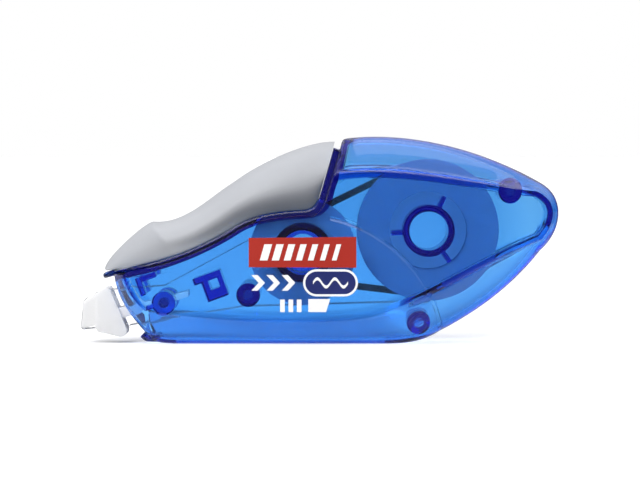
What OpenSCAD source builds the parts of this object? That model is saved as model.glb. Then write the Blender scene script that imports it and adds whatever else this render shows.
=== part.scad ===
// Correction tape roller: translucent two-half housing, soft grip, pivoting
// applicator tip, supply and take-up spools joined by a rubber belt.
// X runs from the tip (-X) to the rear nose (+X), Z is up, the left side is -Y.

/* [Housing] */
// Half thickness of the housing at its flat side panels
side_y = 8.2; // [7.5:0.1:9]
// Half thickness where the slanted margins meet the rounded back and base
shoulder_y = 4.6; // [4.4:0.1:5]
// Wall thickness of both housing halves
wall = 1.1; // [0.8:0.1:1.3]
// How far the deck rim stands out past the side panels
rim_out = 0.35; // [0.2:0.05:0.6]

/* [Tape] */
// Width of the correction tape
tape_w = 4.2; // [4:0.1:5]
// Outer radius of the full supply roll
roll_r = 13.7; // [12:0.1:13.8]
// Outer radius of the supply core that the tape is wound on
core_r = 7.4; // [7:0.1:8]
// Outer radius of the take-up core
take_core_r = 6.3; // [6.2:0.05:6.4]
// Outer radius of the used backing wound on the take-up core
liner_r = 6.7; // [6.6:0.1:8]
// Thickness of the moving tape runs
tape_t = 0.08; // [0.05:0.01:0.2]

/* [Drive] */
// Radius of the belt's centre line on the supply pulley
belt_big_r = 12.8; // [12:0.1:12.9]
// Radius of the belt's centre line on the take-up pulley
belt_small_r = 5.8; // [5.6:0.1:6]
// Thickness of the belt
belt_t = 1.3; // [0.8:0.1:1.4]
// Width of the belt
belt_w = 1.0; // [0.8:0.1:1.2]
// Radial running clearance of every turning fit
run_gap = 0.05; // [0.02:0.01:0.1]

/* [Tip] */
// Half width of the tip across its cheeks
cheek_y = 2.95; // [2.8:0.05:3.1]
// Thickness of each cheek
cheek_t = 0.7; // [0.5:0.05:0.75]

/* [Hidden] */
$fn = 64;

shell_blue = [0.16, 0.42, 0.85, 0.45];
grip_grey = [0.74, 0.75, 0.78];
tip_white = [0.93, 0.94, 0.95];

// Spool axes, pins and posts, as [x, z]
supply_c = [20.8, 22.0];
take_c = [-3.4, 17.85];
pivot_c = [-30.1, 8.1];
post_c = [-13.85, 9.7];
rear_pin_c = [36.4, 29.5];
base_pin_c = [18.8, 4.4];
pin_boss_r = 2.28;
pin_r = 0.95;
hub_r = 4.97;
hub_bore_r = 3.72;
far_hub_r = 5.4;
far_hub_bore_r = 4.26;
take_boss_r = 5.7;
take_boss_bore_r = 4.27;
far_take_r = 4.2;
far_take_bore_r = 3.2;
flange_r = 10.3;
// Outer face of the take-up flange, from the middle plane
flange_y = 3.2;
// Near side of the belt, and of the pulley rims beyond it
belt_y = 3.0;
belt_end = belt_y + belt_w + 0.1;
// Thickness of one printed layer
print_t = 0.1;
// Free space left round the turning pieces where the deck is cut
run_out = 0.5;
// Deck rim: clearance under the grip, and thickness along the base and the rear edge of the grip
deck_gap = 0.15;
deck_t = 1.0;
deck_rear_t = 1.45;
// Inner ends of the near bosses and ribs, measured from the middle plane
pivot_boss_y = 3.2;
post_boss_y = 2.4;
front_rib_y = 3.3;
hub_rib_y = 2.9;
socket_rib_y = 1.2;
crease_rib_y = 3.6;
// Depth of the pin sockets from the middle plane: at the front, and at the rear and base
socket_y = 6.4;
rear_socket_y = 4.8;
// Play left between the two halves of a split boss
split = 0.05;
// Groove between the front label panel and the rear body
groove_c = [-4.2, -3.2];
groove_r = 28.25;
groove_w = 0.35;
groove_depth = 0.3;

// ---------- curves ----------
function bez(p, n) = [for (i = [0:n - 1]) let (t = i / n, u = 1 - t)
    u * u * u * p[0] + 3 * u * u * t * p[1] + 3 * u * t * t * p[2] + t * t * t * p[3]];
function line(a, b, n) = [for (i = [0:n - 1]) a + (b - a) * i / n];
function unit(v) = v / norm(v);
function left_of(v) = [-v[1], v[0]];
// Moves a closed loop sideways by d, with true corners
function inset_loop(p, d) = let (n = len(p)) [for (i = [0:n - 1])
    let (a = left_of(unit(p[i] - p[(i + n - 1) % n])), b = left_of(unit(p[(i + 1) % n] - p[i])))
    p[i] + (a + b) * d / (1 + a * b)];
// Moves an open line sideways by d
function shift_line(p, d) = let (n = len(p)) [for (i = [0:n - 1])
    let (v = unit(p[min(i + 1, n - 1)] - p[max(i - 1, 0)])) p[i] + left_of(v) * d];
function reversed(p) = [for (i = [len(p) - 1:-1:0]) p[i]];
function mix(a, b, t) = [for (i = [0:len(a) - 1]) a[i] + (b[i] - a[i]) * t];

// Lower edge of the grip, from its front tip round its lower rear corner
grip_base = concat(
    bez([[-41.4, 14.2], [-32.2, 15.35], [-23.6, 18.2], [-16.1, 23.05]], 12),
    bez([[-16.1, 23.05], [-12, 25.45], [-7.1, 25.8], [-3.4, 25.95]], 8),
    bez([[-3.4, 25.95], [-1.6, 26.0], [-0.8, 26.9], [-0.2, 28.6]], 5), [[-0.2, 28.6]]);
// Rear edge of the grip, from the end of its lower edge to its top rear corner
grip_rear = concat(line([-0.2, 28.6], [2.8, 39.0], 5), [[2.8, 39.0]]);
// Upper edge of the grip, from its front tip to its top rear corner
grip_top = concat(
    bez([[-41.9, 14.6], [-41.8, 16.6], [-34.2, 23.4], [-32.6, 23.56]], 8),
    bez([[-32.6, 23.56], [-26.3, 23.0], [-21.6, 28.4], [-16.5, 31.5]], 8),
    bez([[-16.5, 31.5], [-11.5, 35.2], [-2.4, 39.3], [2.8, 39.1]], 14), [[2.8, 39.1]]);

// Housing outline at the back and base, clockwise seen from the left side
deck_line = bez([[-39.9, 13.75], [-32.2, 14.7], [-23.4, 17.7], [-15.9, 22.6]], 12);
deck_line2 = bez([[-15.9, 22.6], [-12, 25.0], [-7.1, 25.3], [-2.6, 25.5]], 8);
deck_line3 = bez([[-2.6, 25.5], [-0.6, 25.7], [0.6, 26.4], [1.3, 28.4]], 5);
nose_top = [43.0, 31.0];
nose_low = [42.8, 18.0];
outline = concat(deck_line, deck_line2, deck_line3,
    line([1.3, 28.4], [2.5, 32.5], 3), line([2.5, 32.5], [4.4, 39.5], 4),
    bez([[4.4, 39.5], [16.9, 41.5], [31.8, 37.5], nose_top], 18),
    bez([nose_top, [48.0, 28.1], [46.9, 21.5], nose_low], 12),
    bez([nose_low, [37.7, 11.3], [30.9, 6.1], [23.2, 2.2]], 12),
    bez([[23.2, 2.2], [20.8, 0.55], [17.4, 0.0], [12.5, 0.0]], 8),
    line([12.5, 0.0], [-28.0, 0.0], 14),
    bez([[-28.0, 0.0], [-30.8, 0.05], [-32.6, 0.3], [-33.4, 1.6]], 4),
    bez([[-33.4, 1.6], [-35.6, 4.4], [-39.2, 7.6], [-39.9, 13.75]], 12));
// Outline of the flat side panel: the creases run inside the housing outline
panel = concat(deck_line, deck_line2, deck_line3,
    bez([[1.3, 28.4], [1.6, 29.8], [2.1, 31.4], [2.5, 32.2]], 7),
    bez([[2.5, 32.2], [14.0, 34.5], [31.0, 30.5], [41.6, 29.6]], 18),
    bez([[41.6, 29.6], [46.0, 27.6], [45.4, 23.6], [42.6, 20.4]], 12),
    bez([[42.6, 20.4], [35.5, 18.2], [29.5, 14.8], [22.6, 11.2]], 12),
    bez([[22.6, 11.2], [17.0, 8.5], [12.5, 5.6], [6.0, 5.0]], 8),
    bez([[6.0, 5.0], [-4.0, 4.2], [-14.0, 4.4], [-24.0, 5.6]], 14),
    bez([[-24.0, 5.6], [-28.0, 6.0], [-31.0, 6.2], [-33.6, 6.8]], 4),
    bez([[-33.6, 6.8], [-35.6, 8.4], [-37.0, 10.6], [-37.9, 13.9]], 12));

// Creases of the rear body that ribs follow inside
upper_crease = concat(bez([[3.0, 32.4], [13.0, 34.2], [27.0, 31.0], [35.2, 30.0]], 14), [[35.2, 30.0]]);
lower_crease = concat(bez([[43.0, 20.8], [35.7, 18.35], [29.7, 15.0], [23.6, 11.7]], 14), [[23.6, 11.7]]);
// Small fin on the pivot boss
pivot_tail = [[-31.8, 7.2], [-33.4, 6.7], [-33.5, 7.5], [-31.8, 8.1]];
lip_y = 4.2;

// ---------- housing ----------
// For each ring: height from the middle plane at the flat base and front, height on the
// rounded margins of the rear body, and blend from the outline towards the side panel
rings = [[0, 0, 0], [shoulder_y - 0.9, 0.8, 0.003], [shoulder_y, 2.4, 0.06], [5.9, 4.8, 0.37],
         [6.9, 5.8, 0.68], [7.6, 6.4, 0.86], [7.9, 7.8, 0.94], [side_y, side_y, 1]];
function ease(t) = let (c = min(1, max(0, t))) c * c * (3 - 2 * c);
// Share of the rear margin's rounding at every point round the housing
rear_share = [for (i = [0:len(outline) - 1]) let (m = (outline[i] + panel[i]) / 2)
    m[1] > 27 && m[0] > 0 ? ease((outline[i][0] - 4.3) / 3) : m[1] <= 27 ? ease((m[0] - 13) / 10) : 0];

// Share of the full thickness: the housing thins towards its nose
function taper(x) = 1 - 0.4 * ease((x - 24) / 26);
// One ring, inset by depth and drawn towards the middle plane by the same share
function ring(r, depth, side) = let (p = mix(outline, panel, r[2]), q = depth > 0 ? inset_loop(p, -depth) : p)
    [for (i = [0:len(p) - 1])
        [q[i][0], -side * taper(p[i][0]) * (1 - depth / side_y) * (r[0] + (r[1] - r[0]) * rear_share[i]), q[i][1]]];
// Faces between two rings of n points that start at indexes a and b
function band(a, b, n) = [for (i = [0:n - 1]) let (j = (i + 1) % n) each
    [[a + i, b + j, b + i], [a + i, a + j, b + j]]];

// Flat cap on a ring that starts at index a: strips between its upper and lower chains
function cap(a, n) = [for (i = [0:n / 2 - 1]) let (j = (n - i) % n, k = n - i - 1) each
    concat(i < n / 2 - 1 ? [[a + i, a + i + 1, a + k]] : [], i > 0 ? [[a + i, a + k, a + j]] : [])];
// Bare half housing, on the left for side 1 and on the right for side -1
module shell_half(side) {
    n = len(outline);
    k = len(rings);
    faces = concat(
        [for (r = [0:k - 2]) each band(r * n, (r + 1) * n, n)],
        [for (r = [0:k - 2]) each band((k + r + 1) * n, (k + r) * n, n)],
        cap((k - 1) * n, n),
        [for (f = cap((2 * k - 1) * n, n)) reversed(f)],
        band(k * n, 0, n));
    polyhedron(points = concat([for (r = rings) each ring(r, 0, side)], [for (r = rings) each ring(r, wall, side)]),
        faces = side > 0 ? faces : [for (f = faces) reversed(f)]);
}
// Solid half that ends in the middle of the wall: what stands inside the housing is kept to it
module envelope(side) {
    n = len(outline);
    k = len(rings);
    pts = concat([for (q = ring(rings[0], wall / 2, side)) [q[0], side * 1, q[2]]],
        [for (r = rings) each ring(r, wall / 2, side)]);
    faces = concat([for (r = [0:k - 1]) each band(r * n, (r + 1) * n, n)],
        cap(k * n, n), [for (f = cap(0, n)) reversed(f)]);
    polyhedron(points = pts, faces = side > 0 ? faces : [for (f = faces) reversed(f)]);
}

// A flat shape in the XZ plane, from y = y0 to y = y1
module slab(y0, y1) {
    translate([0, y1, 0]) rotate([90, 0, 0]) linear_extrude(y1 - y0) children();
}
module disc(c, r, y0, y1) {
    translate([c[0], y1, c[1]]) rotate([90, 0, 0]) cylinder(r = r, h = y1 - y0);
}
module tube(c, r, bore, y0, y1) {
    difference() {
        disc(c, r, y0, y1);
        disc(c, bore, y0 - 1, y1 + 1);
    }
}

// Thin plate under the grip that runs on as the front ledge
module deck_plate(y0, y1) {
    edge = concat(grip_base, [for (p = grip_rear) if (p[1] > 29 && p[1] < 38) p]);
    rail = concat([[-42.4, 13.75]], [for (p = edge) if (p[0] > -40) p]);
    thin = shift_line(rail, -deck_gap - deck_t);
    thick = shift_line(rail, -deck_gap - deck_rear_t);
    low = [for (i = [0:len(rail) - 1]) rail[i][0] > -2.6 ? thick[i] : thin[i]];
    intersection() {
        slab(y0, y1) polygon(concat(shift_line(rail, -deck_gap), reversed(low)));
        linear_extrude(60) polygon([[-33, -10], [10, -10], [10, 10], [-33, 10],
            for (a = [90:-15:-90]) [-37.9 - 4.5 * cos(a), 4.6 * sin(a)]]);
    }
}

// Slot in the deck under the grip, for the take-up flanges and the belt
module deck_slot() {
    intersection() {
        disc(take_c, flange_r + run_out, -flange_y - run_out, flange_y + run_out);
        translate([take_c[0], 0, 30]) cube([3 * flange_r, 20, 16], center = true);
    }
    slab(belt_y - run_out, belt_y + belt_w + run_out) intersection() {
        polygon(belt_loop(belt_big_r + belt_t / 2 + run_out, belt_small_r + belt_t / 2 + run_out));
        translate([take_c[0] - 6, 22]) square([13, 8]);
    }
}

// Opening that the tip comes out of
module mouth() {
    slab(-shoulder_y + wall + 0.1, shoulder_y - wall - 0.1)
        polygon([[-45, 12.2], [-37.9, 12.2], [-35.6, 6.4], [-33.4, 3.4], [-31.8, 2.3], [-36.2, 1.7], [-45, 6]]);
}

// Lip that the base runs out into below the mouth
module lip(y0, y1) {
    slab(y0, y1) polygon([[-30.5, 0.35], [-33.7, 0.45], [-34.6, 0.9], [-34.9, 1.3], [-34.6, 1.75], [-33.0, 2.1],
                          [-31.0, 2.1]]);
}

// Rib that stands inside the housing along a crease, from width first to width last
module crease_rib(curve, first, last, y0, y1) {
    n = len(curve) - 1;
    side_line = function(s) [for (i = [0:n]) let (v = unit(curve[min(i + 1, n)] - curve[max(i - 1, 0)]))
        curve[i] + left_of(v) * s * (first + (last - first) * i / n) / 2];
    slab(y0, y1) polygon(concat(side_line(1), reversed(side_line(-1))));
}

module l_rib(y0, y1) {
    slab(y0, y1) translate([-35.0, 12.6]) rotate(20)
        polygon([[-0.5, 0.4], [3.6, 0.4], [3.6, -0.65], [0.55, -0.65], [0.55, -3.2], [-0.5, -3.2]]);
}

module socket_rib(y0, y1) {
    slab(y0, y1) translate([-24.6, 12.7]) rotate(20) difference() {
        polygon([[0, 0], [5.6, 0], [5.6, -5.2], [1.4, -5.2], [1.4, -1.3], [0, -1.3]]);
        translate([2.7, -3.2]) square([1.9, 1.9]);
    }
}

module hub_ribs(y0, y1) {
    for (a = [66, 183, -56]) slab(y0, y1) translate(supply_c) rotate(a) translate([hub_r - 0.4, -0.45])
        square([2.6, 0.9]);
}

// Groove that parts the front label panel from the rear body
module panel_groove(y0, y1) {
    slab(y0, y1) difference() {
        intersection() {
            translate(groove_c) circle(groove_r + groove_w);
            translate([2.2, 9.5]) square([24, 15]);
        }
        translate(groove_c) circle(groove_r);
    }
}

module left_shell() {
    root = -side_y + wall / 2;
    color(shell_blue) difference() {
        union() {
            shell_half(1);
            deck_plate(-side_y - rim_out, 0);
            tube(supply_c, hub_r, hub_bore_r, root, 2.3);
            tube(take_c, take_boss_r, take_boss_bore_r, root, 0.5);
            disc(pivot_c, pin_boss_r, root, -pivot_boss_y);
            disc(post_c, pin_boss_r, root, -post_boss_y);
            lip(-lip_y, 0);
            slab(root, -front_rib_y) polygon(pivot_tail);
            intersection() {
                for (c = [rear_pin_c, base_pin_c]) disc(c, pin_boss_r, root, -split);
                envelope(1);
            }
            crease_rib(upper_crease, 1.5, 0.8, -crease_rib_y - 1.7, -crease_rib_y);
            crease_rib(lower_crease, 1.2, 0.7, -crease_rib_y - 0.8, -crease_rib_y + 0.2);
            hub_ribs(root, -hub_rib_y);
            l_rib(root, -front_rib_y);
            socket_rib(root, -socket_rib_y);
        }
        mouth();
        deck_slot();
        panel_groove(-side_y - 1, -side_y + groove_depth);
        for (c = [pivot_c, post_c]) disc(c, pin_r + run_gap, -socket_y, 1);
        for (c = [rear_pin_c, base_pin_c]) disc(c, pin_r + run_gap, -rear_socket_y, 1);
    }
}

module right_shell() {
    root = side_y - wall / 2;
    color(shell_blue) difference() {
        union() {
            shell_half(-1);
            deck_plate(0, side_y + rim_out);
            tube(supply_c, far_hub_r, far_hub_bore_r, 2.75, root);
            tube(take_c, far_take_r, far_take_bore_r, 2.75, root);
            disc(pivot_c, pin_boss_r, pivot_boss_y, root);
            disc(post_c, pin_boss_r, -post_boss_y + 2 * split, root);
            lip(0, lip_y);
            intersection() {
                for (c = [rear_pin_c, base_pin_c]) disc(c, pin_boss_r, split, root);
                envelope(-1);
            }
            disc(pivot_c, pin_r, -socket_y + 0.8, root);
            for (c = [post_c, rear_pin_c, base_pin_c]) disc(c, pin_r, -rear_socket_y + 0.2, 1);
            l_rib(front_rib_y, root);
        }
        mouth();
        deck_slot();
        panel_groove(side_y - groove_depth, side_y + 1);
    }
}

// ---------- grip ----------
// Half section of the grip as shares of its half width and height: at its front, and further back
// where the sides are hollow below a soft crease
front_section = [[0, 0], [0.5, 0], [0.97, 0], [1, 0.03], [1, 0.12], [0.97, 0.28], [0.93, 0.4], [0.86, 0.55],
                 [0.74, 0.7], [0.58, 0.85], [0.38, 0.95], [0.18, 0.99], [0, 1]];
hollow_section = [[0, 0], [0.45, 0], [0.86, 0], [0.89, 0.03], [0.9, 0.1], [0.935, 0.2], [0.985, 0.3], [1, 0.38],
                  [0.985, 0.49], [0.9, 0.66], [0.72, 0.83], [0.4, 0.96], [0, 1]];
grip_n = 30;
function at(p, t) = let (k = t * (len(p) - 1), i = min(floor(k), len(p) - 2)) p[i] + (p[i + 1] - p[i]) * (k - i);
// Grip loft: width half_w, lifted off its base by low and sunk below its top by high, from t0 to t1
module grip_loft(half_w, low, high, t0, t1) {
    m = len(front_section);
    n = 2 * m - 2;
    pts = [for (i = [0:grip_n]) let (t = t0 + (t1 - t0) * i / grip_n, a = at(grip_base, t), b = at(grip_top, t),
        v = unit(b - a), h = norm(b - a), fill = min(1, 0.45 + 2.2 * t),
        half = mix(front_section, hollow_section, ease((t - 0.12) / 0.3)),
        full = concat(half, [for (i = [m - 2:-1:1]) [-half[i][0], half[i][1]]]))
        each [for (q = full) let (c = a + v * (low + (h - low - high) * q[1])) [c[0], half_w * fill * q[0], c[1]]]];
    centre = function(r) [pts[r * n][0] + pts[r * n + m - 1][0], 0, pts[r * n][2] + pts[r * n + m - 1][2]] / 2;
    last = grip_n * n;
    hub = len(pts);
    polyhedron(points = concat(pts, [centre(0), centre(grip_n)]), faces = concat(
        [for (i = [0:grip_n - 1]) each band((i + 1) * n, i * n, n)],
        [for (i = [0:n - 1]) [i, (i + 1) % n, hub]],
        [for (i = [0:n - 1]) [last + (i + 1) % n, last + i, hub + 1]]));
}
module grip_insert() {
    color([0.6, 0.62, 0.66]) difference() {
        grip_loft(side_y - 2.3, 0.05, 2.0, 0.17, 0.93);
        disc(take_c, flange_r + run_out, -flange_y - run_out, flange_y + run_out);
    }
}
module grip_skin() {
    color(grip_grey) difference() {
        grip_loft(side_y - 0.05, 0, 0, 0.0, 1.0);
        grip_loft(side_y - 2.0, -0.6, 1.7, 0.15, 0.95);
    }
}

// ---------- spools ----------
module supply_core() {
    color("white") difference() {
        tube(supply_c, core_r, hub_r + run_gap, -2.5, 2.6);
        tube(supply_c, 6.9, 6.0, 2.1, 3);
    }
}
module tape_roll() {
    color("whitesmoke") tube(supply_c, roll_r, core_r, -tape_w / 2, tape_w / 2);
}
module slip_ring() {
    color("dimgray") tube(supply_c, 6.8, 6.1, 2.1, 2.8);
}
module supply_pulley() {
    color("white") union() {
        tube(supply_c, 13.3, far_hub_r + run_gap, 2.8, belt_y - 0.05);
        tube(supply_c, belt_big_r - belt_t / 2 - 0.1, 10.9, 2.85, belt_end);
        tube(supply_c, 12.5, 10.9, belt_end, belt_end + 0.25);
        tube(supply_c, 6.6, far_hub_r + run_gap, 2.85, 6.2);
        for (a = [0:60:300]) slab(2.85, 4.0) translate(supply_c) rotate(a) translate([6.3, -0.4]) square([4.8, 0.8]);
    }
}
module take_up_spool() {
    color("white") union() {
        tube(take_c, flange_r, take_boss_r + run_gap, -flange_y, -2.5);
        tube(take_c, take_core_r, take_boss_r + run_gap, -2.6, 2.4);
        tube(take_c, take_core_r, far_take_r + run_gap, 1.4, 2.6);
    }
}
module take_up_pulley() {
    color("white") union() {
        tube(take_c, flange_r, far_take_r + run_gap, 2.6, belt_y - 0.05);
        tube(take_c, belt_small_r - belt_t / 2 - 0.1, far_take_r + run_gap, 2.85, belt_end);
        tube(take_c, 6.1, far_take_r + run_gap, belt_end, belt_end + 0.3);
    }
}
module liner_roll() {
    color("gainsboro") tube(take_c, liner_r, take_core_r, -tape_w / 2, tape_w / 2);
}

// Closed loop round both spool axes: an arc on each and the straight runs between them
function belt_loop(r_big, r_small) = let (d = take_c - supply_c, dir = atan2(d[1], d[0]),
    open = acos((r_big - r_small) / norm(d)))
    concat([for (i = [0:40]) on_circle(supply_c, r_big, dir + open + i * (360 - 2 * open) / 40)],
           [for (i = [0:20]) on_circle(take_c, r_small, dir - open + i * 2 * open / 20)]);
module drive_belt() {
    color([0.1, 0.1, 0.12]) difference() {
        slab(belt_y, belt_y + belt_w) polygon(belt_loop(belt_big_r + belt_t / 2, belt_small_r + belt_t / 2));
        slab(belt_y - 1, belt_y + belt_w + 1) polygon(belt_loop(belt_big_r - belt_t / 2, belt_small_r - belt_t / 2));
    }
}

// ---------- tip and tape ----------
module cheek(y0, y1) {
    slab(y0, y1) polygon([[-43.7, 3.0], [-43.6, 9.6], [-41.9, 10.75], [-41.1, 10.9], [-40.6, 10.2],
                          [-37.5, 2.7], [-37.65, 1.8], [-38.2, 1.35], [-38.9, 1.3], [-43.1, 2.2]]);
}
module applicator_tip() {
    color(tip_white) difference() {
        union() {
            for (s = [-1, 1]) cheek(min(s * cheek_y, s * (cheek_y - cheek_t)), max(s * cheek_y, s * (cheek_y - cheek_t)));
            slab(-2.4, 2.4) polygon([[-46.4, 3.2], [-45.95, 7.9], [-45.5, 8.5], [-43.8, 9.4], [-42.6, 8.6],
                                     [-42.0, 6.2], [-31.5, 8.6], [-31.5, 7.2], [-40.0, 4.3], [-46.0, 2.9]]);
            disc(pivot_c, 2.1, -2.9, 2.9);
            slab(-2.3, 2.3) polygon([[-30.5, 8.9], [-25.6, 10.2], [-25.6, 9.1], [-30.5, 7.4]]);
        }
        disc(pivot_c, pin_r + run_gap, -4, 4);
    }
}

module ribbon(pts) {
    slab(-tape_w / 2, tape_w / 2) polygon(concat(pts, reversed(shift_line(pts, tape_t))));
}
function on_circle(c, r, a) = c + r * [cos(a), sin(a)];
module tape_feed_run() {
    color("white") ribbon(concat([[-37.2, 3.35]], [for (a = [259:4:271]) on_circle(post_c, 2.6, a)],
        [on_circle(supply_c, roll_r + 0.25, 269)]));
}
module tape_tip_loop() {
    color("white") ribbon(concat([[-42.2, 10.0], [-43.9, 9.65], [-45.6, 8.75], [-46.1, 8.0]],
        [[-46.55, 3.3], [-46.45, 2.85], [-46.1, 2.6]], [[-44.0, 2.75], [-40.0, 3.7], [-37.6, 3.55]]));
}
module tape_return_run() {
    color("white") ribbon([on_circle(take_c, liner_r + 0.25, 119), [-30.3, 11.2], [-41.6, 10.3]]);
}

// ---------- printed marks on the left side ----------
module mark(depth) {
    slab(-side_y - depth, -side_y - 0.02) children();
}
module red_print() {
    color([0.72, 0.2, 0.1]) mark(print_t) polygon([[-13.7, 15.1], [-13.7, 20.7], [6.9, 20.9], [6.9, 15.0]]);
}
// Rounded pill that holds the ripple mark
module pill(grow) {
    hull() for (x = [-0.7, 4.6]) translate([x, 12.1]) circle(2.15 + grow);
}
module chevron(x) {
    translate([x, 12.1]) polygon([[-1.5, 1.5], [-0.3, 1.5], [1.1, 0], [-0.3, -1.5], [-1.5, -1.5], [-0.1, 0]]);
}
module white_print() {
    color("white") mark(print_t) {
        for (i = [0:2]) chevron(-11.7 + 2.9 * i);
        difference() {
            pill(0.45);
            pill(0.03);
        }
        for (i = [0:2]) translate([-7.7 + 1.6 * i, 6.5]) square([0.9, 2.4]);
        polygon([[-2.3, 6.5], [-2.3, 9.0], [1.9, 9.0], [1.1, 6.5]]);
    }
}
module navy_print() {
    color([0.1, 0.16, 0.5]) mark(print_t) pill(0);
}
// Second layer of white: slanted bars on the red panel and a ripple in the pill
module badge_print() {
    ripple = [for (a = [0:30:720]) [-1.4 + 6.7 * a / 720, 12.1 + 0.8 * sin(a)]];
    color("white") slab(-side_y - 2 * print_t, -side_y - print_t - 0.02) {
        for (i = [0:6]) translate([-11.6 + 2.3 * i, 16.4])
            polygon([[0, 0], [1.5 - 0.1 * i, 0], [2.4 - 0.1 * i, 3.1], [0.9, 3.1]]);
        polygon(concat([for (p = ripple) p + [0, 0.3]], reversed([for (p = ripple) p - [0, 0.3]])));
    }
}

left_shell();
right_shell();
grip_skin();
grip_insert();
supply_core();
tape_roll();
slip_ring();
supply_pulley();
take_up_spool();
take_up_pulley();
liner_roll();
drive_belt();
applicator_tip();
tape_feed_run();
tape_tip_loop();
tape_return_run();
red_print();
white_print();
navy_print();
badge_print();
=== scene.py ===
"""Looks of the correction tape roller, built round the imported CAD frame.

Lengths in this script are millimetres; they become metres only where a mesh, lamp or camera is made.
X runs from the tip to the nose, Y to the far side, Z up."""
import math

import bmesh
import bpy
import numpy as np
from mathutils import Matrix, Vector
from mathutils.bvhtree import BVHTree


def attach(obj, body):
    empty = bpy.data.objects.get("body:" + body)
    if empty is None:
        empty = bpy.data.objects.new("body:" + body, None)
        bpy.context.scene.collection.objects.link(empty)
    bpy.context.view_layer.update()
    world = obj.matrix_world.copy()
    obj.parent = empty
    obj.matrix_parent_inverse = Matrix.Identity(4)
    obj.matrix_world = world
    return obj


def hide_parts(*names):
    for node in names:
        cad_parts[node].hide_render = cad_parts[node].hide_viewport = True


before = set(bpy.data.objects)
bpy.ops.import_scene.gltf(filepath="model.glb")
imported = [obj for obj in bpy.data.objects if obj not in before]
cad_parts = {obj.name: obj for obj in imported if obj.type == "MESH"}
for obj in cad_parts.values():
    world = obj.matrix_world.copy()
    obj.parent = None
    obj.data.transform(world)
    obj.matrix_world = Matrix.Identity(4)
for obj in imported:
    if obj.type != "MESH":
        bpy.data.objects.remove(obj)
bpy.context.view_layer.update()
scene = bpy.context.scene
MM = 0.001

# ---------- driving sizes, as in the CAD apart from the wider groove's radius ----------
SIDE_Y = 8.2
WALL = 1.1
RIM_OUT = 0.35
PIN_BOSS_R = 2.28
PIN_R = 0.95
RUN_GAP = 0.05
DECK_GAP = 0.15
DECK_T = 1.0
DECK_REAR_T = 1.45
SUPPLY = (20.8, 22.0)
TAKE_UP = (-3.4, 17.85)
PIVOT = (-30.1, 8.1)
POST = (-13.85, 9.7)
REAR_PIN = (36.4, 29.5)
BASE_PIN = (18.8, 4.4)
GROOVE_C = (-4.2, -3.2)
GROOVE_R = 28.4
FLANGE_R = 10.3
FLANGE_Y = 3.2
BELT_BIG = 12.8
BELT_SMALL = 5.8
BELT_Y = (3.0, 4.0)
# Inner ends of the bosses and ribs, measured from the middle plane
PIVOT_BOSS_Y = 3.2
POST_BOSS_Y = 2.4
PIN_BOSS_Y = 0.05
FRONT_RIB_Y = 3.3
HUB_RIB_Y = 2.9
SOCKET_RIB_Y = 1.2
# How deep bosses reach into the side wall
ROOT = 0.3
LIP_Y = 4.2
# Gap by which each half is drawn back from the parting plane
PARTING = 0.012


# ---------- curves ----------
def bez(points, n):
    """n points along a cubic curve, without its end."""
    t = np.arange(n)[:, None] / n
    p = np.array(points, float)
    return (1 - t) ** 3 * p[0] + 3 * (1 - t) ** 2 * t * p[1] + 3 * (1 - t) * t**2 * p[2] + t**3 * p[3]


def line(a, b, n):
    """n points along a straight line, without its end."""
    t = np.arange(n)[:, None] / n
    return np.array(a, float) + (np.array(b, float) - np.array(a, float)) * t


def chain(*parts, closed=True, end=None):
    """Parts joined to one loop, or to an open line with its end point."""
    pts = np.concatenate(parts)
    return pts if closed else np.concatenate([pts, [end]])


def inset(loop, d):
    """Closed clockwise loop moved inwards by d.

    Points that a corner swallows are spread between their neighbours."""
    before, after = np.roll(loop, 1, 0), np.roll(loop, -1, 0)
    unit = lambda v: v / np.linalg.norm(v, axis=1)[:, None]
    a, b = unit(loop - before), unit(after - loop)
    right = lambda v: np.stack([v[:, 1], -v[:, 0]], 1)
    out = loop + (right(a) + right(b)) * d / (1 + (a * b).sum(1))[:, None]
    seg = after - loop
    rel = out[:, None] - loop[None]
    t = np.clip((rel * seg[None]).sum(2) / (seg**2).sum(1)[None], 0, 1)
    gap = np.linalg.norm(rel - t[..., None] * seg[None], axis=2).min(1)
    good = np.flatnonzero(gap > d * 0.985)
    n = len(loop)
    for k, g in enumerate(good):
        nxt = good[(k + 1) % len(good)]
        run = (nxt - g) % n
        for s in range(1, run):
            out[(g + s) % n] = out[g] + (out[nxt] - out[g]) * s / run
    return out


def offset_line(pts, d):
    """Open line moved to its right by d."""
    pts = np.asarray(pts, float)
    v = np.gradient(pts, axis=0)
    v /= np.linalg.norm(v, axis=1)[:, None]
    return pts + np.stack([v[:, 1], -v[:, 0]], 1) * d


def rounded(points, r, steps=5):
    """Polygon with every corner replaced by an arc that starts r from it."""
    out, n = [], len(points)
    for i in range(n):
        p, a, b = (np.array(points[j % n], float) for j in (i, i - 1, i + 1))
        ra, rb = (min(r, np.linalg.norm(q - p) * 0.45) for q in (a, b))
        s, e = p + (a - p) / np.linalg.norm(a - p) * ra, p + (b - p) / np.linalg.norm(b - p) * rb
        for t in np.linspace(0, 1, steps):
            out.append((1 - t) ** 2 * s + 2 * (1 - t) * t * p + t * t * e)
    return np.array(out)


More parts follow.
